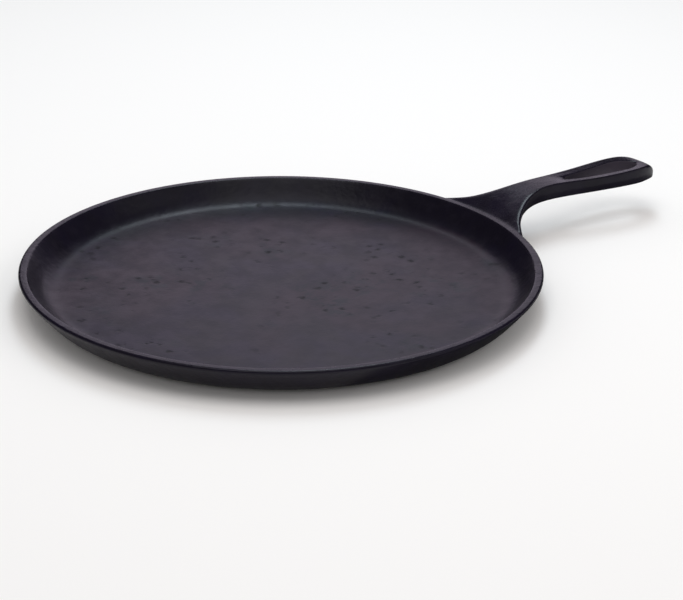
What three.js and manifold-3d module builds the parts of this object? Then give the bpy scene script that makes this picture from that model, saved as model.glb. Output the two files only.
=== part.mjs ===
// A round griddle in cast iron: a shallow pan with a flared wall and a flat rim, and a long handle
// that rises out of the wall and ends in a teardrop hole to hang it by.
// The real griddle is poured in one go, so pan and handle are one solid with no joint between them.
// Millimetres, +Z up. The origin is the middle of the flat base, and the handle runs along +X.

import * as THREE from "three";
import { mergeVertices } from "three/addons/utils/BufferGeometryUtils.js";
import Module from "manifold-3d";

const wasm = await Module();
wasm.setup();

// Pan
const RIM_DIAMETER = 266.7;
const RIM_HEIGHT = 17;
const RIM_WIDTH = 4.8;
const RIM_EDGE_RADIUS = 1.1;
const FLOOR_THICKNESS = 4.4;
const WALL_LEAN = 40; // degrees from upright, the same inside and out
const BASE_CORNER_RADIUS = 16;
const COVE_RADIUS = 10; // the round between the cooking surface and the wall

// Handle, seen from above
const HANDLE_LENGTH = 116.8; // from the rim to the tip
const FLARE_RADIUS = 46; // the round between the rim and the side of the neck
const NECK_WIDTH = 14;
const GRIP_WIDTH = 24.4; // at its widest, beside the hole
const END_LENGTH = 24.4; // from the widest place to the tip

// Handle, seen from the side
const HANDLE_THICKNESS = 10.2;
const GRIP_LIFT = 12.4; // top of the grip above the rim
const ROOT_DROP = 2.3; // foot of the ramp below the rim
const RAMP_LEAD = 9; // the ramp starts to rise this far inside the rim
const RAMP_LENGTH = 29; // from the rim to where the top of the handle is level
const RAMP_SHIFT = 3; // the underside bends this much further out than the top
const ROOT_EDGE_THICKNESS = 2.4; // at the two ends of the flare, where the root thins out
const HANDLE_EDGE_RADIUS = 2.8;
const TIP_TOP_ROUND = 26; // length over which the top rounds down to the tip
const TIP_BOTTOM_ROUND = 9; // length over which the underside rounds up to it
const TIP_DROP = 7.9; // the tip's nose below the top of the grip
const TIP_RISE = 1.4; // the tip's nose above the underside

// Teardrop hole
const HOLE_LENGTH = 54.5;
const HOLE_END_WALL = 11.1; // from the hole's round end to the tip
const HOLE_BORDER = 4.2; // at the widest place
const HOLE_POINT_RADIUS = 2.6;
const HOLE_EDGE_RADIUS = 1.6;

// How finely the rounds are cut
const TURN_STEPS = 120;
const ARC_STEPS = 6;
const EDGE_STEPS = 3;
const FLARE_STEPS = 14;
const SIDE_STEPS = 7;
const END_STEPS = 12;
const ACROSS_STEPS = 8;
const HOLE_STEPS = 10;
const CUT_MARGIN = 2; // how far a cutting shape stands past what it cuts

const rimRadius = RIM_DIAMETER / 2;
const lean = THREE.MathUtils.degToRad(WALL_LEAN);

// Points of an arc about a centre, from one angle to another, ends included.
function arc(x, y, radius, from, to, steps) {
  const points = [];
  for (let i = 0; i <= steps; i++) {
    const angle = from + ((to - from) * i) / steps;
    points.push(new THREE.Vector2(x + radius * Math.cos(angle), y + radius * Math.sin(angle)));
  }
  return points;
}

// A closed geometry as a solid for cutting and joining, with its shared vertices merged.
function solid(geometry) {
  const bare = new THREE.BufferGeometry();
  bare.setAttribute("position", geometry.getAttribute("position"));
  bare.setIndex(geometry.index);
  const merged = mergeVertices(bare, 1e-4);
  const index = merged.index.array;
  const triangles = [];
  for (let i = 0; i < index.length; i += 3) {
    const [a, b, c] = index.slice(i, i + 3);
    // A revolved profile that meets the axis leaves triangles with no area there.
    if (a !== b && b !== c && c !== a) triangles.push(a, b, c);
  }
  const mesh = new wasm.Mesh({
    numProp: 3,
    vertProperties: merged.getAttribute("position").array,
    triVerts: new Uint32Array(triangles),
  });
  return new wasm.Manifold(mesh);
}

// A profile of (radius, height) points, turned about the pan's axis.
function turned(profile) {
  const geometry = new THREE.LatheGeometry(profile, TURN_STEPS);
  geometry.rotateX(Math.PI / 2);
  return solid(geometry);
}

// A skin through closed rings that have the same number of points, with a fan over each end.
function lofted(rings) {
  const count = rings[0].length;
  const points = rings.flat();
  const index = [];
  for (let r = 0; r + 1 < rings.length; r++) {
    for (let i = 0; i < count; i++) {
      const a = r * count + i;
      const b = r * count + ((i + 1) % count);
      index.push(a, b, b + count, a, b + count, a + count);
    }
  }
  for (const [ring, first] of [[rings[0], true], [rings.at(-1), false]]) {
    const start = points.indexOf(ring[0]);
    const middle = new THREE.Vector3();
    for (const point of ring) middle.addScaledVector(point, 1 / count);
    points.push(middle);
    for (let i = 0; i < count; i++) {
      const a = start + i;
      const b = start + ((i + 1) % count);
      index.push(points.length - 1, first ? b : a, first ? a : b);
    }
  }
  const geometry = new THREE.BufferGeometry().setFromPoints(points);
  geometry.setIndex(index);
  return solid(geometry);
}

// The outside of the pan, filled up to the rim: flat base, round corner, leaning wall, round rim edge.
function panBlank() {
  const edgeX = rimRadius - RIM_EDGE_RADIUS;
  const edgeZ = RIM_HEIGHT - RIM_EDGE_RADIUS;
  const wallTopX = edgeX + RIM_EDGE_RADIUS * Math.cos(lean);
  const wallTopZ = edgeZ - RIM_EDGE_RADIUS * Math.sin(lean);
  const cornerZ = BASE_CORNER_RADIUS;
  const wallFootZ = cornerZ - BASE_CORNER_RADIUS * Math.sin(lean);
  const wallFootX = wallTopX - (wallTopZ - wallFootZ) * Math.tan(lean);
  const cornerX = wallFootX - BASE_CORNER_RADIUS * Math.cos(lean);
  return turned([
    new THREE.Vector2(0, 0),
    ...arc(cornerX, cornerZ, BASE_CORNER_RADIUS, -Math.PI / 2, -lean, ARC_STEPS),
    ...arc(edgeX, edgeZ, RIM_EDGE_RADIUS, -lean, Math.PI / 2, EDGE_STEPS),
    new THREE.Vector2(0, RIM_HEIGHT),
  ]);
}

// The hollow of the pan: flat cooking surface, cove, leaning wall, and the round inner edge of the rim.
function panHollow() {
  const edgeX = rimRadius - RIM_WIDTH + RIM_EDGE_RADIUS;
  const edgeZ = RIM_HEIGHT - RIM_EDGE_RADIUS;
  const wallTopX = edgeX - RIM_EDGE_RADIUS * Math.cos(lean);
  const wallTopZ = edgeZ + RIM_EDGE_RADIUS * Math.sin(lean);
  const coveZ = FLOOR_THICKNESS + COVE_RADIUS;
  const wallFootZ = coveZ - COVE_RADIUS * Math.sin(lean);
  const wallFootX = wallTopX - (wallTopZ - wallFootZ) * Math.tan(lean);
  const coveX = wallFootX - COVE_RADIUS * Math.cos(lean);
  return turned([
    new THREE.Vector2(0, FLOOR_THICKNESS),
    ...arc(coveX, coveZ, COVE_RADIUS, -Math.PI / 2, -lean, ARC_STEPS),
    ...arc(edgeX, edgeZ, RIM_EDGE_RADIUS, Math.PI - lean, Math.PI / 2, EDGE_STEPS),
    new THREE.Vector2(edgeX, RIM_HEIGHT + CUT_MARGIN),
    new THREE.Vector2(0, RIM_HEIGHT + CUT_MARGIN),
  ]);
}

const tipX = rimRadius + HANDLE_LENGTH;
const widestX = tipX - END_LENGTH;
const gripTop = RIM_HEIGHT + GRIP_LIFT;
const rootTop = RIM_HEIGHT - ROOT_DROP;
const neckHalf = NECK_WIDTH / 2;
const gripHalf = GRIP_WIDTH / 2;

// The flare is a round that touches both the rim's circle and the side of the neck, where it ends.
const flareY = neckHalf + FLARE_RADIUS;
const neckX = Math.sqrt((rimRadius + FLARE_RADIUS) ** 2 - flareY ** 2);

// Half of the handle's outline from above, from the rim to the tip: (distance from the axis, half width).
function handleOutline() {
  const touch = Math.atan2(flareY, neckX);
  const flare = arc(neckX, flareY, FLARE_RADIUS, Math.PI + touch, 1.5 * Math.PI, FLARE_STEPS);
  const run = widestX - neckX;
  const side = new THREE.CubicBezierCurve(
    new THREE.Vector2(neckX, neckHalf),
    new THREE.Vector2(neckX + run / 4, neckHalf),
    new THREE.Vector2(widestX - run / 3, gripHalf),
    new THREE.Vector2(widestX, gripHalf),
  ).getPoints(SIDE_STEPS);
  const round = new THREE.EllipseCurve(widestX, 0, END_LENGTH, gripHalf, Math.PI / 2, 0, true);
  const end = round.getPoints(END_STEPS);
  return [...flare, ...side.slice(1), ...end.slice(1, -1)];
}

// Height of the handle's top at a distance from the pan's axis: an S from the root up to the level grip.
function rampHeight(reach) {
  const share = THREE.MathUtils.smoothstep(reach, rimRadius - RAMP_LEAD, rimRadius + RAMP_LENGTH);
  return rootTop + (gripTop - rootTop) * share;
}

// How far the tip has rounded over at x, from 0 where the round starts to 1 at the very tip.
function tipRound(x, length) {
  const share = THREE.MathUtils.clamp((x - tipX + length) / length, 0, 1);
  return 1 - Math.sqrt(1 - share ** 2);
}

function handleTop(x, y) {
  return rampHeight(Math.hypot(x, y)) - TIP_DROP * tipRound(x, TIP_TOP_ROUND);
}

function handleBottom(x, y) {
  const bent = rampHeight(Math.hypot(x, y) - RAMP_SHIFT);
  return bent - HANDLE_THICKNESS + TIP_RISE * tipRound(x, TIP_BOTTOM_ROUND);
}

// One cross-section of the handle, with round edges. Its underside arches up towards the ends of the
// flare, so that the root runs out into the wall.
function handleSection(x, halfWidth, flareHalf) {
  const spread = (1 - neckHalf / halfWidth) / (1 - neckHalf / flareHalf);
  const arch = x < neckX ? (HANDLE_THICKNESS - ROOT_EDGE_THICKNESS) * spread : 0;
  const thickness = handleTop(x, 0) - handleBottom(x, 0);
  const radius = Math.min(HANDLE_EDGE_RADIUS, 0.9 * halfWidth, 0.45 * thickness);
  const inner = halfWidth - radius;
  const across = [];
  for (let i = 1; i < ACROSS_STEPS; i++) across.push(inner * (1 - (2 * i) / ACROSS_STEPS));
  const quarter = Math.PI / 2;
  const outline = [
    ...arc(inner, -radius, radius, 0, quarter, EDGE_STEPS),
    ...across.map((y) => new THREE.Vector2(y, 0)),
    ...arc(-inner, -radius, radius, quarter, 2 * quarter, EDGE_STEPS),
    ...arc(-inner, radius - thickness, radius, 2 * quarter, 3 * quarter, EDGE_STEPS),
    ...across.map((y) => new THREE.Vector2(-y, -thickness)),
    ...arc(inner, radius - thickness, radius, 3 * quarter, 4 * quarter, EDGE_STEPS),
  ];
  return outline.map(({ x: y, y: depth }) => {
    const share = -depth / thickness;
    const bottom = handleBottom(x, y) + arch * (y / halfWidth) ** 2;
    return new THREE.Vector3(x, y, THREE.MathUtils.lerp(handleTop(x, y), bottom, share));
  });
}

// The handle, from inside the filled pan out to the tip.
function handle() {
  const outline = handleOutline();
  const start = outline[0];
  const inside = new THREE.Vector2(rimRadius - FLARE_RADIUS, start.y);
  return lofted([inside, ...outline].map((point) => handleSection(point.x, point.y, start.y)));
}

// What the teardrop hole takes out: two circles with straight sides between them, wider at the top
// and at the bottom by the round of the hole's edges.
function hangingHole() {
  const roundRadius = gripHalf - HOLE_BORDER;
  const roundX = tipX - HOLE_END_WALL - roundRadius;
  const pointX = tipX - HOLE_END_WALL - HOLE_LENGTH + HOLE_POINT_RADIUS;
  const slope = Math.asin((roundRadius - HOLE_POINT_RADIUS) / (roundX - pointX));
  const turn = Math.PI / 2 + slope;
  const ring = (heightAt, lift, grow) =>
    [
      ...arc(roundX, 0, roundRadius + grow, -turn, turn, HOLE_STEPS),
      ...arc(pointX, 0, HOLE_POINT_RADIUS + grow, turn, 2 * Math.PI - turn, HOLE_STEPS),
    ].map(({ x, y }) => new THREE.Vector3(x, y, heightAt(x, y) + lift));
  const edge = arc(HOLE_EDGE_RADIUS, HOLE_EDGE_RADIUS, HOLE_EDGE_RADIUS, 1.5 * Math.PI, Math.PI, EDGE_STEPS);
  return lofted([
    ring(handleBottom, -CUT_MARGIN, HOLE_EDGE_RADIUS),
    ...edge.map(({ x: grow, y: depth }) => ring(handleBottom, depth, grow)),
    ...edge.toReversed().map(({ x: grow, y: depth }) => ring(handleTop, -depth, grow)),
    ring(handleTop, CUT_MARGIN, HOLE_EDGE_RADIUS),
  ]);
}

// The finished casting. The hollow is cut last, so the root of the handle never shows inside the pan.
function casting() {
  const { numProp, numVert, vertProperties, triVerts } = panBlank()
    .add(handle())
    .subtract(hangingHole())
    .subtract(panHollow())
    .getMesh();
  const positions = new Float32Array(numVert * 3);
  for (let i = 0; i < numVert; i++) {
    positions.set(vertProperties.subarray(i * numProp, i * numProp + 3), i * 3);
  }
  const geometry = new THREE.BufferGeometry();
  geometry.setAttribute("position", new THREE.BufferAttribute(positions, 3));
  geometry.setIndex(new THREE.BufferAttribute(triVerts, 1));
  geometry.computeVertexNormals();
  return geometry;
}

const seasonedIron = new THREE.MeshStandardMaterial({ color: 0x2b282d, roughness: 0.55, metalness: 0.35 });

const griddle = new THREE.Group();
const castingMesh = new THREE.Mesh(casting(), seasonedIron);
castingMesh.name = "griddle_casting";
griddle.add(castingMesh);

export default griddle;
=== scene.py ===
# %% [markdown]
# # A round griddle in cast iron
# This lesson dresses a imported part, a round griddle with one long handle, for its portrait. The part
# itself is already drawn elsewhere, to the millimetre, and arrives here as a fixed frame. The work in
# Blender is a smoother casting over that frame, its black oiled finish, and a small studio.

# %% Load the frame
import math

import bmesh
import bpy
from mathutils import Matrix, Vector


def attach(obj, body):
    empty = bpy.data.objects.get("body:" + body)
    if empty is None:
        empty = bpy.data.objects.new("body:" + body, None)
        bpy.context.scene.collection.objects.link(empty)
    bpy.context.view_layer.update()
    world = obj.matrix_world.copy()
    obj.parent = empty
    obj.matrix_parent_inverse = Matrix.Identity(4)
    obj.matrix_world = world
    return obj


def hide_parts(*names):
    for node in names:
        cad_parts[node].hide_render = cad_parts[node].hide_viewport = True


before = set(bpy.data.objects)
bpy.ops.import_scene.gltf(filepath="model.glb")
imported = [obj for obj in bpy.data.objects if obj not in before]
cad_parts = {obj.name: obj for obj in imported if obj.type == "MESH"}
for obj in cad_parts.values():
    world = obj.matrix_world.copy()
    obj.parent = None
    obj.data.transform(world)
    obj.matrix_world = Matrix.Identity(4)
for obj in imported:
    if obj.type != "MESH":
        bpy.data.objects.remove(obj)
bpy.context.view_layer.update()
bpy.ops.object.select_all(action="DESELECT")
MM = 0.001
print("frame nodes:", sorted(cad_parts))

# %% [markdown]
# ## The camera
# The picture looks down on the griddle at a low angle, with the handle going off to the back and right.
# A camera can be placed by eye, or by turning it about a point that it looks at, as on a crane. The
# crane is used here: aim at a point, swing round, tip down, roll a little, and back off one metre.

# %% Place the camera
AIM = Vector((25.4, -17.1, -3.9)) * MM
SWING = math.radians(-34)
TIP_DOWN = math.radians(22.9)
ROLL = math.radians(0.77)
DISTANCE = 1.0
IMAGE_WIDTH = 683
FOCAL_PIXELS = 1943

bpy.ops.object.camera_add()
camera = bpy.context.object
camera.name = "camera"
camera.data.lens = camera.data.sensor_width * FOCAL_PIXELS / IMAGE_WIDTH
camera.matrix_world = (
    Matrix.Translation(AIM)
    @ Matrix.Rotation(SWING, 4, "Z")
    @ Matrix.Rotation(math.pi / 2 - TIP_DOWN, 4, "X")
    @ Matrix.Rotation(ROLL, 4, "Z")
    @ Matrix.Translation((0, 0, DISTANCE))
)
bpy.context.scene.camera = camera
print("camera lens in mm:", round(camera.data.lens, 1))

# %% [markdown]
# ## The outline of the pan
# The pan is turned: the same outline all the way round. Its outline has a flat base, a wide round
# corner, a wall that leans out, a flat rim with two small rounds, the same lean inside, and a cove to
# the floor. Each round is an arc, so a few sizes give every point, and a tangent wall joins the arcs.
# One more point, close beside the rim's outer edge, will keep that edge tight when the mesh is
# smoothed.

# %% Work out the outline
RIM_RADIUS = 133.35 * MM
RIM_HEIGHT = 17 * MM
RIM_WIDTH = 4.8 * MM
EDGE_ROUND = 1.1 * MM
RIM_BORDER = 0.15 * MM
FLOOR_HEIGHT = 4.4 * MM
CORNER_ROUND = 16 * MM
COVE_ROUND = 14 * MM
WALL_LEAN = 40
BASE_RING = 100 * MM


def arc(centre, radius, start, end, steps):
    """Points of an arc as (distance from the axis, height), both ends included, with angles in degrees."""
    points = []
    for i in range(steps + 1):
        angle = math.radians(start + (end - start) * i / steps)
        points.append((centre[0] + radius * math.cos(angle), centre[1] + radius * math.sin(angle)))
    return points


def foot_centre(edge, height, gap):
    """Centre of the round at the foot of a wall whose top is tangent to a round about edge."""
    lean = math.radians(WALL_LEAN)
    return edge[0] + ((height - edge[1]) * math.sin(lean) + gap) / math.cos(lean), height


def between(a, b):
    return (a[0] + b[0]) / 2, (a[1] + b[1]) / 2


outer_edge = RIM_RADIUS - EDGE_ROUND, RIM_HEIGHT - EDGE_ROUND
inner_edge = RIM_RADIUS - RIM_WIDTH + EDGE_ROUND, RIM_HEIGHT - EDGE_ROUND
corner = foot_centre(outer_edge, CORNER_ROUND, EDGE_ROUND - CORNER_ROUND)
cove = foot_centre(inner_edge, FLOOR_HEIGHT + COVE_ROUND, -EDGE_ROUND - COVE_ROUND)

corner_arc = arc(corner, CORNER_ROUND, -90, -WALL_LEAN, 4)
outer_edge_arc = arc(outer_edge, EDGE_ROUND, -WALL_LEAN, 90, 3)
inner_edge_arc = arc(inner_edge, EDGE_ROUND, 90, 180 - WALL_LEAN, 2)
cove_arc = arc(cove, COVE_ROUND, -WALL_LEAN, -90, 4)
outline = [
    (BASE_RING, 0),
    *corner_arc,
    between(corner_arc[-1], outer_edge_arc[0]),
    *outer_edge_arc,
    (outer_edge[0] - RIM_BORDER, RIM_HEIGHT),
    *inner_edge_arc,
    between(inner_edge_arc[-1], cove_arc[0]),
    *cove_arc,
    (BASE_RING, FLOOR_HEIGHT),
]
print("points on the outline:", len(outline))

# %% [markdown]
# ## The pan
# A lathe or the Spin tool could turn the outline. Here a circle is pulled along it instead, ring by
# ring: extrude the ring to the next height, scale it to the next width, and go on. That gives clean
# rows of four-sided faces, which a Subdivision Surface likes, and it leaves rows in the wall from which
# the handle can grow later.

# %% Pull the pan up from a circle
TURNS = 96
PLATE_RING = 50 * MM


def choose(test):
    """Select the vertices whose place passes the test, with the edges and faces between them."""
    bpy.ops.mesh.select_all(action="DESELECT")
    mesh = bmesh.from_edit_mesh(griddle.data)
    for vert in mesh.verts:
        vert.select = test(vert.co)
    mesh.select_flush_mode()
    bmesh.update_edit_mesh(griddle.data)


def close_with_plate():
    """Fill the selected ring, with a smaller ring inside the plate."""
    bpy.ops.mesh.edge_face_add()
    bpy.ops.mesh.inset(thickness=BASE_RING - PLATE_RING)


bpy.ops.mesh.primitive_circle_add(vertices=TURNS, radius=BASE_RING, fill_type="NOTHING")
griddle = bpy.context.object
griddle.name = "griddle"
bpy.ops.object.mode_set(mode="EDIT")
bpy.ops.mesh.select_mode(type="VERT")
for (radius, height), (last_radius, last_height) in zip(outline[1:], outline):
    bpy.ops.mesh.extrude_region_move(TRANSFORM_OT_translate={"value": (0, 0, height - last_height)})
    growth = radius / last_radius
    bpy.ops.transform.resize(value=(growth, growth, 1), center_override=(0, 0, 0))
close_with_plate()
choose(lambda place: place.z < MM / 10 and place.xy.length < BASE_RING + MM)
close_with_plate()
bpy.ops.mesh.select_all(action="SELECT")
bpy.ops.mesh.normals_make_consistent(inside=False)
print("faces of the pan:", len(bmesh.from_edit_mesh(griddle.data).faces))

# %% [markdown]
# ## The handle's sizes
# On the real griddle the handle is part of the same casting. It starts as wide as a hand on the wall,
# flares in to a narrow neck while it climbs steeply from the rim and eases into a level grip, and
# widens again to a blunt round end. It could be a second mesh, joined by a Boolean, but a hard seam
# would show. Grown out of the wall's own faces, it has no seam. These functions say how wide and high
# it is at a distance from the pan's axis.

# %% Say how the handle runs
HANDLE_TIP = 249.8 * MM
FLARE_ROUND = 46 * MM
NECK_HALF = 7 * MM
GRIP_HALF = 12.2 * MM
GRIP_END = 24.4 * MM
WIDENING = 1.6
GRIP_TOP = 28.9 * MM
GRIP_THICKNESS = 9.0 * MM
RAMP_START = 133 * MM
RAMP_LENGTH = 39 * MM
RAMP_EASE = 2.1
UNDERSIDE_SHIFT = 2 * MM
FLARE_EDGE = 2.4 * MM
END_POWER = 2.1
TIP_TOP_ROUND = 13.5 * MM
TIP_DROP = 9.6 * MM

flare_reach = RIM_RADIUS + FLARE_ROUND
flare_turn = math.asin((NECK_HALF + FLARE_ROUND) / flare_reach)
neck_x = flare_reach * math.cos(flare_turn)
widest_x = HANDLE_TIP - GRIP_END


def flare_half_width(reach):
    """Half the width of the flare where a circle about the pan's axis crosses its side."""
    if reach >= math.hypot(neck_x, NECK_HALF):
        return NECK_HALF
    cosine = (reach**2 + flare_reach**2 - FLARE_ROUND**2) / (2 * reach * flare_reach)
    return reach * math.sin(flare_turn - math.acos(min(cosine, 1)))


def ramp_height(reach):
    """Height of the handle's top, which leaves the rim steeply and eases into the level grip."""
    share = min(max((reach - RAMP_START) / RAMP_LENGTH, 0), 1)
    return RIM_HEIGHT + (GRIP_TOP - RIM_HEIGHT) * (1 - (1 - share) ** RAMP_EASE)


def tip_round(x, length):
    """How far the tip has rounded over: 0 where the round starts, 1 at the tip."""
    share = min(max((x - HANDLE_TIP + length) / length, 0), 1)
    return 1 - math.sqrt(1 - share**2)


def grip_half_width(x):
    """Half the width from the neck, by a smooth widening, to the blunt round end."""
    if x > widest_x:
        past = min((x - widest_x) / GRIP_END, 1)
        return GRIP_HALF * (1 - past**END_POWER) ** (1 / END_POWER)
    share = min(max((x - neck_x) / (widest_x - neck_x), 0), 1)
    return NECK_HALF + (GRIP_HALF - NECK_HALF) * share**WIDENING * (1 + WIDENING * (1 - share))


print("neck at mm:", round(neck_x / MM, 1), "widest at mm:", round(widest_x / MM, 1))

# %% [markdown]
# ## Growing the handle
# A patch of the outer wall, eight faces wide, is the root. Each step extrudes the patch, and then
# scales and moves its columns of vertices, two at a time, because the handle is the same on both sides.
# Modelling by hand is the same: extrude, scale, move, and look. The numbers come from the functions
# above.

# %% Grow the root and neck
COLUMNS = 9
ROOT_HALF_TURN = math.radians(15)
ROW_SHARES = (0, 0.25, 0.42, 0.58, 0.75, 1)
INNER_SHARE = 0.75
WIDEST_EDGE = 0.6
ROOT_EDGE = 4 * MM
GRIP_EDGE = 0.8 * MM
EDGE_DROP = 1.4 * MM
DROP_POWER = 1.5
ROOT_DEPTH = 1.8 * MM
ROOT_REACHES = [133.5, 137, 142, 148, 154, 160, 166.5]


def choose_vertices(indices):
    """Select vertices by index."""
    bpy.ops.mesh.select_all(action="DESELECT")
    mesh = bmesh.from_edit_mesh(griddle.data)
    mesh.verts.ensure_lookup_table()
    for index in indices:
        mesh.verts[index].select = True
    mesh.select_flush_mode()
    bmesh.update_edit_mesh(griddle.data)


def end_columns():
    """The vertices of the handle's open end, as columns from side to side, each from the bottom up."""
    mesh = bmesh.from_edit_mesh(griddle.data)
    mesh.verts.index_update()
    chosen = sorted((v for v in mesh.verts if v.select), key=lambda v: math.atan2(v.co.y, v.co.x))
    rows = len(chosen) // COLUMNS
    columns = [chosen[i * rows : (i + 1) * rows] for i in range(COLUMNS)]
    return [[(v.index, v.co.copy()) for v in sorted(column, key=lambda v: v.co.z)] for column in columns]


def column_pairs(columns):
    """Columns two by two from the sides inwards, each pair with its share of the half width."""
    middle = COLUMNS // 2
    for step in range(middle + 1):
        pair = columns[step] if step == middle else columns[step] + columns[-1 - step]
        yield 1 - step / middle, pair


def draw_out(section):
    """Extrude the handle's end, then give each pair of columns the place and height that section says."""
    bpy.ops.mesh.extrude_region_move()
    columns = end_columns()
    for share, pair in column_pairs(columns):
        x, y, top, thickness = section(share)
        heights = [place.z for _, place in pair]
        half = max(place.y for _, place in pair)
        choose_vertices([index for index, _ in pair])
        widen = y / half if share else 1
        thicken = thickness / (max(heights) - min(heights))
        bpy.ops.transform.resize(value=(0, widen, thicken), center_override=(x, 0, max(heights)))
        bpy.ops.transform.translate(value=(0, 0, top - max(heights)))
    choose_vertices([index for column in columns for index, _ in column])


def space_rows():
    """Spread the rows of the handle's end from the wall's spacing to even sides with close edges."""
    columns = end_columns()
    for row, share in enumerate(ROW_SHARES):
        for _, pair in column_pairs(columns):
            low, high = pair[0][1].z, pair[len(ROW_SHARES) - 1][1].z
            indices = [pair[i][0] for i in range(row, len(pair), len(ROW_SHARES))]
            choose_vertices(indices)
            bpy.ops.transform.translate(value=(0, 0, low + (high - low) * share - pair[row][1].z))
    choose_vertices([index for column in columns for index, _ in column])


def across(share, half, edge):
    """How far from the middle a column lies, where a wide gap at the edge rounds it."""
    if share == 1:
        return half
    return (half - min(edge, WIDEST_EDGE * half)) * share / INNER_SHARE


def root_section(reach):
    """The section of the root at a reach: an arc about the pan's axis, thinner towards its two ends."""
    half = flare_half_width(reach)
    top = ramp_height(reach)
    rooted = (GRIP_TOP - top) / (GRIP_TOP - RIM_HEIGHT)
    edge = GRIP_EDGE + (ROOT_EDGE - GRIP_EDGE) * rooted
    thickness = GRIP_THICKNESS + ROOT_DEPTH * rooted
    bottom = ramp_height(reach - UNDERSIDE_SHIFT) - thickness
    flared = (1 - NECK_HALF / half) / (1 - NECK_HALF / flare_half_width(RIM_RADIUS))
    arch = (thickness - FLARE_EDGE) * flared

    def section(share):
        y = across(share, half, edge)
        drop = EDGE_DROP * flared**DROP_POWER if share == 1 else 0
        return math.sqrt(reach**2 - y**2), y, top - drop, top - drop - bottom - arch * (y / half) ** 2

    return section


def wall_offset(radius, height):
    """How far out a point is, measured level from the lean of the walls."""
    return radius - height * math.tan(math.radians(WALL_LEAN))


def on_root(place):
    """Whether a vertex is in the patch of the outer wall and rim edge that becomes the root."""
    turn = math.atan2(place.y, place.x)
    border = wall_offset(outer_edge[0] - RIM_BORDER / 2, RIM_HEIGHT)
    outside = wall_offset(place.xy.length, place.z) > border
    above_corner = place.z > corner_arc[-1][1] - MM / 20
    return abs(turn) < ROOT_HALF_TURN + math.radians(1) and outside and above_corner


choose(on_root)
patch = [vert for vert in bmesh.from_edit_mesh(griddle.data).verts if vert.select]
print("vertices in the root's patch:", len(patch))
for step, reach in enumerate(ROOT_REACHES):
    draw_out(root_section(reach * MM))
    if step == 0:
        space_rows()

# %% [markdown]
# ## The grip
# The grip goes on in the same way, section by section, to a domed end. Its top sags a little between
# the neck and the end, as if worn by hands. Where the hole will be, the middle columns part to the
# hole's width, and the border dips towards them. A Boolean could cut the hole, but its edge would have
# no rows to round it with.

# %% Grow the grip
HOLE_EDGE = 0.5 * MM
SAG = 0.6 * MM
SAG_START = 172 * MM
SAG_STOP = 232 * MM
HOLE_DIP = 0.8 * MM
END_BOW = 1.0 * MM
END_EDGE = 3.8 * MM
END_CROWN = 5 * MM
CROWN_LENGTH = 10 * MM
CROWN_POWER = 4
NOSE_HALF = 2.2 * MM
END_DEPTH = 1.8 * MM
END_DEPTH_LENGTH = 50 * MM
HOLE_POINT_X = 189.5 * MM
HOLE_POINT_ROUND = 3.4 * MM
HOLE_ROUND_X = 226 * MM
HOLE_ROUND = 7.5 * MM
HOLE_NOSE = 11.5 * MM
HOLE_XS = [187.6, 194, 202, 209.5, 217, 224, 230, 235.4]
GRIP_XS = [175, *HOLE_XS, 240.6, 244.4, 247.2, 249.15]


def hole_half_width(x):
    """Half the width of the teardrop: straight sides between a small round and a longer nose."""
    share = min(max((x - HOLE_POINT_X) / (HOLE_ROUND_X - HOLE_POINT_X), 0), 1)
    straight = HOLE_POINT_ROUND + (HOLE_ROUND - HOLE_POINT_ROUND) * share
    past = max((x - HOLE_ROUND_X) / HOLE_NOSE, (HOLE_POINT_X - x) / HOLE_POINT_ROUND, 0)
    return straight * math.sqrt(max(1 - past**2, 0))


def grip_section(x):
    """The section of the grip at x, with its columns parted and dipped where the hole will be."""
    half = max(grip_half_width(x), NOSE_HALF)
    has_hole = HOLE_XS[0] * MM <= x <= HOLE_XS[-1] * MM
    hole = hole_half_width(x)
    parted = {0: 0, 0.25: hole, 0.5: hole + HOLE_EDGE, 0.75: half - GRIP_EDGE, 1: half}
    past_hole = x > HOLE_XS[-1] * MM
    bow = END_BOW if past_hole else 0
    edge = END_EDGE if past_hole else GRIP_EDGE
    sag_share = min(max((x - SAG_START) / (SAG_STOP - SAG_START), 0), 1)
    sag = SAG * math.sin(math.pi * sag_share) ** 2

    def section(share):
        y = parted[share] if has_hole else across(share, half, edge)
        here = x + bow * (1 - share**2)
        top = GRIP_TOP - TIP_DROP * tip_round(here, TIP_TOP_ROUND)
        bottom = GRIP_TOP - GRIP_THICKNESS - END_DEPTH * tip_round(here, END_DEPTH_LENGTH)
        dip = HOLE_DIP * min((half - y) / (half - hole), 1) if has_hole else 0
        crown = END_CROWN * tip_round(here, CROWN_LENGTH) * share**CROWN_POWER
        top -= sag + dip + crown
        return here, y, top, max(top - bottom, MM)

    return section


for x in GRIP_XS:
    draw_out(grip_section(x * MM))
print("faces with the handle:", len(bmesh.from_edit_mesh(griddle.data).faces))

# %% [markdown]
# ## The hole
# The griddle hangs on a hook by a teardrop hole. The faces between the parted columns are deleted above
# and below, the ends of the two openings are drawn out to points of the teardrop, and a bridge of faces
# joins the openings. The bridge has as many rows as the outer side of the grip, so that both smooth
# alike.

# %% Open the hole
HOLE_ENDS = (186.2 * MM, 238.9 * MM)


def choose_hole_faces():
    """Select the faces over and under the hole, which are those that touch the middle line."""
    bpy.ops.mesh.select_all(action="DESELECT")
    bpy.ops.mesh.select_mode(type="FACE")
    mesh = bmesh.from_edit_mesh(griddle.data)
    chosen = []
    for face in mesh.faces:
        x = face.calc_center_median().x
        on_middle = min(abs(vert.co.y) for vert in face.verts) < MM / 100
        if HOLE_XS[0] * MM < x < HOLE_XS[-1] * MM and on_middle:
            face.select_set(True)
            chosen.append(face)
    bmesh.update_edit_mesh(griddle.data)
    return len(chosen)


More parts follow.
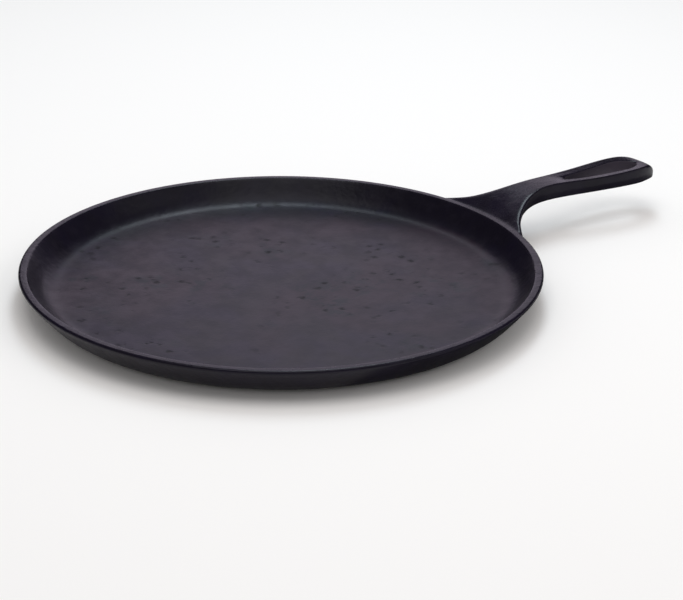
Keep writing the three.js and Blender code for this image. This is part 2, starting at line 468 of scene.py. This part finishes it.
print("faces over and under the hole:", choose_hole_faces())
bpy.ops.mesh.delete(type="FACE")
bpy.ops.mesh.select_mode(type="VERT")
for x, end in zip((HOLE_XS[0] * MM, HOLE_XS[-1] * MM), HOLE_ENDS):
    choose(lambda place: abs(place.x - x) < MM / 10 and abs(place.y) < MM / 10 and place.z > RIM_HEIGHT)
    bpy.ops.transform.translate(value=(end - x, 0, 0))
bpy.ops.mesh.select_mode(type="EDGE")
bpy.ops.mesh.select_all(action="DESELECT")
bpy.ops.mesh.select_non_manifold()
bpy.ops.mesh.bridge_edge_loops(number_cuts=len(ROW_SHARES) - 2)
bpy.ops.mesh.select_all(action="SELECT")
bpy.ops.mesh.normals_make_consistent(inside=False)
bpy.ops.object.mode_set(mode="OBJECT")

# %% [markdown]
# ## Rounding the casting
# Molten iron leaves no sharp corners: the sand of the mould rounds every edge a little. A Bevel could
# round them one by one. A Subdivision Surface rounds them all at once, wide where the rows of the cage
# lie far apart and tight where they lie close, and that is why the rows were spaced with care.

# %% Round the casting
bpy.ops.object.modifier_add(type="SUBSURF")
rounding = griddle.modifiers[-1]
rounding.levels = 2
rounding.render_levels = 2
bpy.ops.object.modifier_apply(modifier=rounding.name)
bpy.ops.object.shade_smooth()
print("faces of the finished casting:", len(griddle.data.polygons))

# %% [markdown]
# ## The seasoned iron
# The iron is covered with baked oil, a thin black skin with a violet cast. It is glossier on the rim
# and the handle, which hands and cloths rub, and duller on the floor. A photograph of iron could be
# wrapped round it. Patterns made by nodes are used instead, because they have no seams and stay sharp
# at any distance. They all read Object coordinates, so a pattern's scale is simply in waves per metre.

# %% Start the finish
SKIN_IOR = 1.27

seasoned_iron = bpy.data.materials.new("seasoned_iron")
seasoned_iron.use_nodes = True
nodes = seasoned_iron.node_tree.nodes
links = seasoned_iron.node_tree.links
iron = nodes["Principled BSDF"]
iron.inputs["IOR"].default_value = SKIN_IOR
position = nodes.new("ShaderNodeTexCoord").outputs["Object"]


def noise(waves, detail, roughness=0.5):
    """Cloudy values from 0 to 1, with so many waves to the metre."""
    cloud = nodes.new("ShaderNodeTexNoise")
    cloud.inputs["Scale"].default_value = waves
    cloud.inputs["Detail"].default_value = detail
    cloud.inputs["Roughness"].default_value = roughness
    links.new(position, cloud.inputs["Vector"])
    return cloud.outputs["Fac"]


def spread(source, low, high, to_low=0, to_high=1):
    """Take values between low and high smoothly to another range, and hold them beyond it."""
    node = nodes.new("ShaderNodeMapRange")
    node.interpolation_type = "SMOOTHSTEP"
    links.new(source, node.inputs["Value"])
    node.inputs["From Min"].default_value = low
    node.inputs["From Max"].default_value = high
    node.inputs["To Min"].default_value = to_low
    node.inputs["To Max"].default_value = to_high
    return node.outputs["Result"]


def reckon(operation, *terms):
    """One sum on values, each of which is another node's output or a plain number."""
    node = nodes.new("ShaderNodeMath")
    node.operation = operation
    for term, socket in zip(terms, node.inputs):
        if isinstance(term, (int, float)):
            socket.default_value = term
        else:
            links.new(term, socket)
    return node.outputs["Value"]


# The colour sockets of a Mix node share their names with others, so they are picked by number.
MIX_FIRST, MIX_SECOND, MIX_RESULT = 6, 7, 2


def blend_colours(share, first, second):
    """A colour between two others, each of which is another node's output or a plain colour."""
    node = nodes.new("ShaderNodeMix")
    node.data_type = "RGBA"
    links.new(share, node.inputs["Factor"])
    for colour, socket in ((first, MIX_FIRST), (second, MIX_SECOND)):
        if isinstance(colour, tuple):
            node.inputs[socket].default_value = (*colour, 1)
        else:
            links.new(colour, node.inputs[socket])
    return node.outputs[MIX_RESULT]


# %% [markdown]
# ### Where the iron is rubbed, and light painted in the hole
# Wear follows use: the rim and the top of the handle are wiped and gripped, and a hook rubs the hole.
# Painting a mask by hand would do. Here the masks come from the place and the slope of the surface. The
# hole's mask is partly hook wear and partly painted light: it paints the hole's inside walls lighter,
# more so towards the round end, as if light fell in from that side. It stops short of the grip's outer
# sides, where no hook rubs.

# %% Find the rubbed places and the painted light in the hole
WORN_FROM = 15.8 * MM
WORN_FULL = 16.8 * MM
HOLE_START = 184.6 * MM
HOLE_STOP = 241 * MM
HOLE_WIDENING = 0.113
HOLE_MASK_HALF = 4.2 * MM
HOLE_MASK_WIDEST = 8.6 * MM

axes = nodes.new("ShaderNodeSeparateXYZ")
links.new(position, axes.inputs["Vector"])
along, sideways, height = axes.outputs
slope = nodes.new("ShaderNodeSeparateXYZ")
links.new(nodes.new("ShaderNodeNewGeometry").outputs["Normal"], slope.inputs["Vector"])
facing_up = slope.outputs["Z"]

raised = spread(height, WORN_FROM, WORN_FULL)
polished = reckon("MULTIPLY", raised, spread(facing_up, 0.3, 0.7))
past_start = reckon("SUBTRACT", along, HOLE_START)
hole_half = reckon("MULTIPLY_ADD", past_start, HOLE_WIDENING, HOLE_MASK_HALF)
hole_half = reckon("MINIMUM", hole_half, HOLE_MASK_WIDEST)
from_side = reckon("SUBTRACT", hole_half, reckon("ABSOLUTE", sideways))
in_hole = reckon("MULTIPLY", spread(from_side, 0, 0.6 * MM), spread(along, HOLE_START, HOLE_START + MM))
in_hole = reckon("MULTIPLY", in_hole, spread(along, HOLE_STOP - MM, HOLE_STOP, 1, 0))
upright = spread(reckon("ABSOLUTE", facing_up), 0.35, 0.8, 1, 0)
# Partly hook wear, partly painted light: this mask paints the hole's inside walls lighter.
hook_wear_and_light = reckon("MULTIPLY", in_hole, upright)
print("nodes for the rubbed places:", len(nodes))

# %% [markdown]
# ### The colour of the baked oil
# Oil bakes unevenly, so the black drifts between grey, blue and brown over a few centimetres, with
# finer blotches in it. On the floor, dark specks and soft smudges lie in loose clusters where food has
# burnt on. The specks are the middles of cells in a Voronoi pattern, with wobbly edges, so that no two
# are alike.

# %% Colour the skin
BLUE_BLACK = (0.0074, 0.0050, 0.0162)
GREY_BLACK = (0.0067, 0.0050, 0.0106)
BROWN_BLACK = (0.0132, 0.0066, 0.0136)
PALE_BLOTCH = (0.0125, 0.0090, 0.0180)
SMUDGE_BLUE = (0.0060, 0.0080, 0.0135)
SPECK_BLACK = (0.0035, 0.0030, 0.0045)
# Bare iron on the rubbed rim and handle top; in the hole the same colour is also painted light that lifts
# its inside walls.
BARE_IRON_AND_HOLE_LIGHT = (0.0580, 0.0480, 0.0640)
RUBBED_SHARE = 0.04
ROUGH_EDGE = 3.5 * MM
PATINA_WAVES = 15
TINT_WAVES = 45
BLOTCH_WAVES = 110
CLUSTER_WAVES = 22
SMUDGE_WAVES = 75
SPECK_WAVES = 135
GAP_WAVES = 160
WOBBLE_WAVES = 420

on_floor = reckon("MULTIPLY", spread(height, 5 * MM, 7 * MM, 1, 0), spread(facing_up, 0.1, 0.5))
patina = reckon("MULTIPLY", spread(noise(PATINA_WAVES, 2), 0.42, 0.62), on_floor)
blotches = noise(BLOTCH_WAVES, 3, 0.55)
tint = reckon("MULTIPLY", spread(noise(TINT_WAVES, 2), 0.38, 0.62), spread(on_floor, 0, 1, 0.4, 1))
colour = blend_colours(tint, GREY_BLACK, BLUE_BLACK)
colour = blend_colours(patina, colour, BROWN_BLACK)
colour = blend_colours(spread(blotches, 0.5, 0.75, 0, 0.4), colour, PALE_BLOTCH)

wobble = nodes.new("ShaderNodeTexNoise")
wobble.inputs["Scale"].default_value = WOBBLE_WAVES
links.new(position, wobble.inputs["Vector"])
shifted = nodes.new("ShaderNodeVectorMath")
shifted.operation = "MULTIPLY_ADD"
links.new(wobble.outputs["Color"], shifted.inputs[0])
shifted.inputs[1].default_value = (ROUGH_EDGE, ROUGH_EDGE, ROUGH_EDGE)
links.new(position, shifted.inputs[2])
cells = nodes.new("ShaderNodeTexVoronoi")
cells.inputs["Scale"].default_value = SPECK_WAVES
links.new(shifted.outputs["Vector"], cells.inputs["Vector"])
clusters = reckon("MULTIPLY", spread(noise(CLUSTER_WAVES, 2), 0.44, 0.6), on_floor)
smudges = reckon("MULTIPLY", spread(noise(SMUDGE_WAVES, 4, 0.65), 0.52, 0.66), clusters)
specks = reckon("MULTIPLY", spread(cells.outputs["Distance"], 0.06, 0.42, 1, 0), clusters)
specks = reckon("MULTIPLY", specks, spread(noise(GAP_WAVES, 1), 0.38, 0.56))
colour = blend_colours(smudges, colour, SMUDGE_BLUE)
colour = blend_colours(specks, colour, SPECK_BLACK)
colour = blend_colours(reckon("MULTIPLY", polished, RUBBED_SHARE), colour, BARE_IRON_AND_HOLE_LIGHT)
# Painted light: the hole's inside grows lighter towards its round end, as if lit from that side.
hook_wear_and_light = reckon("MULTIPLY", hook_wear_and_light, spread(along, HOLE_START, HOLE_STOP, 0.45, 1))
colour = blend_colours(hook_wear_and_light, colour, BARE_IRON_AND_HOLE_LIGHT)
links.new(colour, iron.inputs["Base Color"])
print("nodes for the colour:", len(nodes))

# %% [markdown]
# ### Its gloss and its grain
# Roughness says how wide a reflection spreads: small on the rubbed places, larger on the dull floor.
# Bump then tilts the surface a little without moving it: long waves from the mould, a fine grain from
# its sand, a shallow pit at each speck, and pebbles on the walls and the handle, which no tool has
# rubbed flat. Real displacement would need millions of faces to show the grain.

# %% Set the gloss and grain
DULL = 0.35
GLOSSY = 0.26
SPECK_DULLING = 0.12
MOULD_WAVES = 70
MOULD_HEIGHT = 0.10 * MM
GRAIN_WAVES = 620
GRAIN_HEIGHT = 0.035 * MM
PEBBLE_WAVES = 260
PEBBLE_HEIGHT = 0.16 * MM
PIT_DEPTH = 0.08 * MM

gloss = spread(polished, 0, 1, DULL, GLOSSY)
gloss = reckon("ADD", gloss, spread(blotches, 0.25, 0.75, -0.05, 0.05))
gloss = reckon("MULTIPLY_ADD", specks, SPECK_DULLING, gloss)
links.new(gloss, iron.inputs["Roughness"])
mirror = spread(specks, 0, 1, 0.5, 0.36)
mirror = reckon("MULTIPLY", mirror, spread(smudges, 0, 1, 1, 0.9))
links.new(mirror, iron.inputs["Specular IOR Level"])


def add_bump(heights, distance, under=None):
    """Tilt the surface by a pattern of heights, on top of an earlier bump."""
    node = nodes.new("ShaderNodeBump")
    node.inputs["Distance"].default_value = distance
    links.new(heights, node.inputs["Height"])
    if under:
        links.new(under, node.inputs["Normal"])
    return node.outputs["Normal"]


tilt = add_bump(noise(MOULD_WAVES, 2), MOULD_HEIGHT)
tilt = add_bump(noise(GRAIN_WAVES, 3, 0.6), GRAIN_HEIGHT, tilt)
tilt = add_bump(reckon("SUBTRACT", 1, specks), PIT_DEPTH, tilt)
pebbles = reckon("MULTIPLY", noise(PEBBLE_WAVES, 2), reckon("SUBTRACT", 1, on_floor))
tilt = add_bump(pebbles, PEBBLE_HEIGHT, tilt)
links.new(tilt, iron.inputs["Normal"])
print("nodes in the finish:", len(nodes))

# %% [markdown]
# ## Tying the casting to the frame
# The finished mesh stands for the one node of the frame. It rides on the frame's only body, hides the
# plain solid that it replaces, and says which finish of the record it wears.

# %% Tie the casting to the frame
griddle.data.materials.clear()
griddle.data.materials.append(seasoned_iron)
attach(griddle, "root")
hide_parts("griddle_casting")
print("finish of the casting:", griddle.data.materials[0].name)

# %% [markdown]
# ## The table
# The griddle stands on a plain white table. Its colour is a paper white, a touch warm to even out the
# cool lamp behind, and it keeps the soft shadow. A curved sheet of paper would do as well, but the
# table goes past the edges of the picture on all sides.

# %% Lay the table
TABLE_SIZE = 8
TABLE_WHITE = (0.945, 0.918, 0.902, 1)


def single_shader(name, kind, **values):
    """A material of one shader, with some of its values set."""
    material = bpy.data.materials.new(name)
    material.use_nodes = True
    tree = material.node_tree
    tree.nodes.clear()
    shader = tree.nodes.new(kind)
    for socket, value in values.items():
        shader.inputs[socket].default_value = value
    output = tree.nodes.new("ShaderNodeOutputMaterial")
    tree.links.new(shader.outputs[0], output.inputs["Surface"])
    return material


bpy.ops.mesh.primitive_plane_add(size=TABLE_SIZE)
table = bpy.context.object
table.name = "table"
table.data.materials.append(single_shader("white_table", "ShaderNodeBsdfDiffuse", Color=TABLE_WHITE))
print("table in metres:", TABLE_SIZE)

# %% [markdown]
# ## A hood for the reflections
# Black iron is drawn by what it mirrors. In the picture the level faces mirror a bright backdrop behind
# the griddle, and the walls and the ramp of the handle mirror a dark room. Black cards on stands would
# do that in a studio. Here one dark hood goes over everything, and some of its faces behind the
# griddle, the window, are given a second material, a lit backdrop with a touch of lilac. Only
# reflections see the hood.

# %% Raise the hood
HOOD_RADIUS = 1.6
HOOD_RINGS = 72
HOOD_GLOW = 0.012
BACKDROP_GLOW = 0.91
BACKDROP_TINT = (1.01, 0.9, 1.08, 1)
WINDOW_LEFT = -16
WINDOW_RIGHT = 24
WINDOW_FOOT = 3
WINDOW_TOP = 38
TOP_SLOPE = 0.9
FOOT_SLOPE = 0.25

away = Vector((-math.sin(SWING), math.cos(SWING), 0))


def in_window(place):
    """Whether a place on the hood lies in the window, by its turn from straight behind and its rise."""
    turn = math.degrees(away.xy.angle_signed(place.xy, 0))
    rise = math.degrees(math.asin(place.z / place.length))
    foot = WINDOW_FOOT + FOOT_SLOPE * max(turn, 0)
    top = WINDOW_TOP - TOP_SLOPE * max(turn, 0)
    return WINDOW_LEFT < turn < WINDOW_RIGHT and foot < rise < top


def show_to_reflections(thing):
    """Put a thing on the stage that only reflections see."""
    thing.visible_camera = False
    thing.visible_diffuse = False
    thing.visible_transmission = False
    thing.visible_shadow = False


rings = {"segments": 2 * HOOD_RINGS, "ring_count": HOOD_RINGS}
bpy.ops.mesh.primitive_uv_sphere_add(radius=HOOD_RADIUS, **rings)
hood = bpy.context.object
hood.name = "hood"
bpy.ops.object.mode_set(mode="EDIT")
bpy.ops.mesh.select_all(action="DESELECT")
bpy.ops.mesh.select_mode(type="FACE")
hood_mesh = bmesh.from_edit_mesh(hood.data)
for face in hood_mesh.faces:
    face.select_set(face.calc_center_median().z < 0)
bmesh.update_edit_mesh(hood.data)
bpy.ops.mesh.delete(type="FACE")
hood.data.materials.append(single_shader("dark_hood", "ShaderNodeEmission", Strength=HOOD_GLOW))
lit = {"Color": BACKDROP_TINT, "Strength": BACKDROP_GLOW}
hood.data.materials.append(single_shader("lit_backdrop", "ShaderNodeEmission", **lit))
for face in hood_mesh.faces:
    face.select_set(in_window(face.calc_center_median()))
bmesh.update_edit_mesh(hood.data)
hood.active_material_index = 1
bpy.ops.object.material_slot_assign()
bpy.ops.object.mode_set(mode="OBJECT")
show_to_reflections(hood)
print("faces of the hood:", len(hood.data.polygons))

# %% [markdown]
# ## Cards under the right side and the handle
# The outer wall leans out over the table, so it mirrors the table right below it, and so does the
# underside of the handle. In the picture those places are dark at the right and under the handle. Two
# dark round cards, again for reflections only, lie there just above the table: they are a painted
# shadow under the right side of the pan and under the handle, which only reflections see. A darker
# table would show in the picture itself.

# %% Lay the cards
CARD_CORNERS = 64
CARD_HEIGHT = 0.3 * MM
CARD_GLOW = 0.05
PAN_CARD_SHIFT = 60 * MM
PAN_CARD_RADIUS = 120 * MM
HANDLE_CARD_PLACE = Vector((228, 14, 0)) * MM
HANDLE_CARD_RADIUS = 64 * MM

to_right = Vector((math.cos(SWING), math.sin(SWING), 0))
# The cards' dark colour is a painted shadow that only reflections see.
dark_card = single_shader("dark_card", "ShaderNodeEmission", Strength=CARD_GLOW)


def lay_card(name, place, radius):
    """A dark disc just above the table, a painted shadow that only reflections see."""
    above = place + Vector((0, 0, CARD_HEIGHT))
    shape = {"vertices": CARD_CORNERS, "radius": radius, "fill_type": "NGON"}
    bpy.ops.mesh.primitive_circle_add(location=above, **shape)
    card = bpy.context.object
    card.name = name
    card.data.materials.append(dark_card)
    show_to_reflections(card)
    print("card:", name, "radius in mm:", round(radius / MM))


# Painted shadow for reflections: one card under the right side of the pan and one under the handle.
lay_card("pan_card", to_right * PAN_CARD_SHIFT, PAN_CARD_RADIUS)
lay_card("handle_card", HANDLE_CARD_PLACE, HANDLE_CARD_RADIUS)

# %% [markdown]
# ## The lamps
# Three softboxes give the lines of light. A narrow one, high behind, draws the bright line along the
# cove, and its light is a little blue. A broad one overhead lifts the back wall, and one at the right
# shows the inside of the hole. Point lamps would give the same light, but hard small glints.

# %% Hang the lamps
LAMP_DISTANCE = 1.2
COOL_LIGHT = (0.81, 0.92, 1)


def lamp_direction(turn, rise):
    """Towards a place that is turned from straight behind, clockwise from above, and raised, in degrees."""
    level = Matrix.Rotation(math.radians(-turn), 3, "Z") @ away
    return level * math.cos(math.radians(rise)) + Vector((0, 0, math.sin(math.radians(rise))))


def softbox(name, turn, rise, width, tall, brightness, colour=(1, 1, 1)):
    """A rectangular lamp that looks at the griddle. A white background has a brightness of 1."""
    direction = lamp_direction(turn, rise)
    aim = direction.to_track_quat("Z", "Y").to_euler()
    bpy.ops.object.light_add(type="AREA", location=direction * LAMP_DISTANCE, rotation=aim)
    bpy.context.object.name = name
    lamp = bpy.context.object.data
    lamp.shape = "RECTANGLE"
    lamp.size = width
    lamp.size_y = tall
    lamp.energy = brightness * math.pi * width * tall
    lamp.color = colour
    print("lamp:", name, "watts:", round(lamp.energy, 2))


softbox("back_softbox", turn=7, rise=57, width=0.3, tall=0.6, brightness=7.2, colour=COOL_LIGHT)
softbox("top_softbox", turn=180, rise=80, width=0.9, tall=0.9, brightness=1.7)
softbox("side_softbox", turn=104, rise=40, width=0.9, tall=0.55, brightness=0.9)

# %% [markdown]
# ## The world
# The world fills the shadows with even light. To the camera and to reflections it is plain white,
# whatever the fill is, though the hood stands before it in most reflections. A brighter fill would also
# whiten the picture, but it would light the black iron too.

# %% Light the world
FILL = 0.54
WHITE = (1, 1, 1, 1)

world = bpy.data.worlds.new("studio")
bpy.context.scene.world = world
world.use_nodes = True
sky = world.node_tree
sky.nodes.clear()
path = sky.nodes.new("ShaderNodeLightPath")
seen = path.outputs["Is Camera Ray"]
for ray in ("Is Glossy Ray", "Is Transmission Ray"):
    either = sky.nodes.new("ShaderNodeMath")
    either.operation = "MAXIMUM"
    sky.links.new(seen, either.inputs[0])
    sky.links.new(path.outputs[ray], either.inputs[1])
    seen = either.outputs["Value"]
fill = sky.nodes.new("ShaderNodeBackground")
fill.inputs["Color"].default_value = WHITE
fill.inputs["Strength"].default_value = FILL
white = sky.nodes.new("ShaderNodeBackground")
white.inputs["Color"].default_value = WHITE
choice = sky.nodes.new("ShaderNodeMixShader")
sky.links.new(seen, choice.inputs[0])
sky.links.new(fill.outputs["Background"], choice.inputs[1])
sky.links.new(white.outputs["Background"], choice.inputs[2])
output = sky.nodes.new("ShaderNodeOutputWorld")
sky.links.new(choice.outputs["Shader"], output.inputs["Surface"])
bpy.context.scene.view_settings.view_transform = "Standard"
print("fill light:", FILL)
